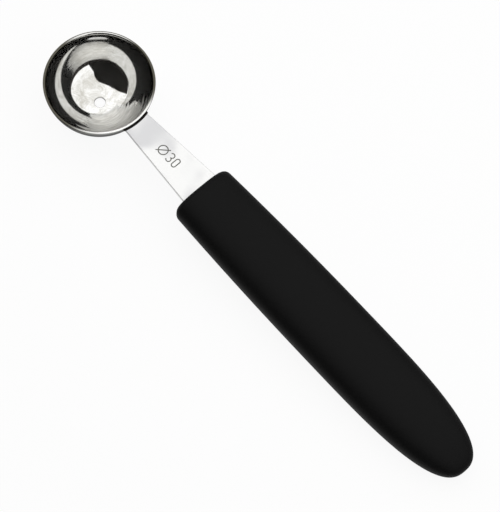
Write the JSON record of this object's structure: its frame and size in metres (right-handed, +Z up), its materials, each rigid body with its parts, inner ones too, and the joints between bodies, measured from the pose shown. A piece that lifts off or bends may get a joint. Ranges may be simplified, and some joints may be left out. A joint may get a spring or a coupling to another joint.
{
  "type": "melon baller",
  "caption": "Hand scoop with a polished steel bowl shaped like half a ball, a small drain hole, a flat shank that widens from the bowl, and a matte black oval handle.",
  "frame": {"origin": "bottom centre of the whole tool's box, on the surface that the tool lies on", "axes": "+X from the bowl to the handle's end, +Y across the tool, +Z up. The tool lies as it would on a table, on the bottom of its bowl and the underside of its handle, with the bowl open upwards, so the mouth leans about 3 degrees towards +X"},
  "size_m": [0.1652, 0.0316, 0.0154],
  "materials": {
    "polished_steel": "polished, with fine circular brush lines inside",
    "satin_steel": "satin",
    "dark_weld": "dark, as left by welding",
    "black_plastic": "fine matte, as moulded"
  },
  "bodies": {
    "root": {"bowl": "polished_steel", "shank": "satin_steel", "weld_seam": "dark_weld", "handle": "black_plastic"}
  },
  "joints": []
}
